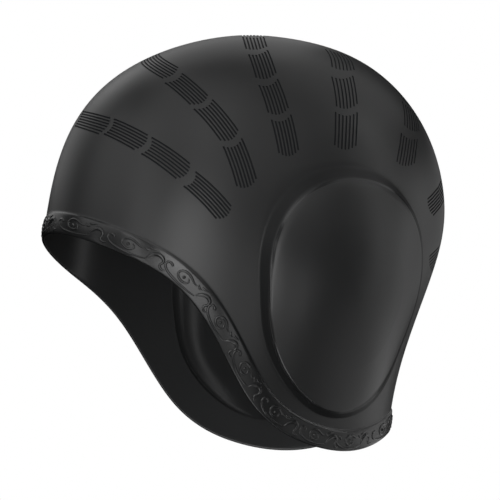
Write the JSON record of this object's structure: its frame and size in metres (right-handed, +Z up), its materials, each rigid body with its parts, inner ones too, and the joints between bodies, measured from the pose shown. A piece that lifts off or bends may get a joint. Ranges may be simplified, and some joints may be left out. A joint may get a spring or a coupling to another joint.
{
  "type": "swim cap",
  "caption": "Soft moulded rubber swim cap with a rounded crown, a raised pocket over each ear, a low nape and a raised hem band with a scroll vine in relief",
  "frame": {"origin": "the mount head_seat: the inside top of the crown, where the top of a head touches the cap", "axes": "+Z up as worn, the face opening towards -Y and the nape towards +Y, the wearer's left towards +X"},
  "size_m": [0.1892, 0.2208, 0.2232],
  "materials": {
    "cap_rubber": "satin moulded rubber, charcoal black"
  },
  "bodies": {
    "root": {"swim_cap": "cap_rubber"}
  },
  "joints": []
}
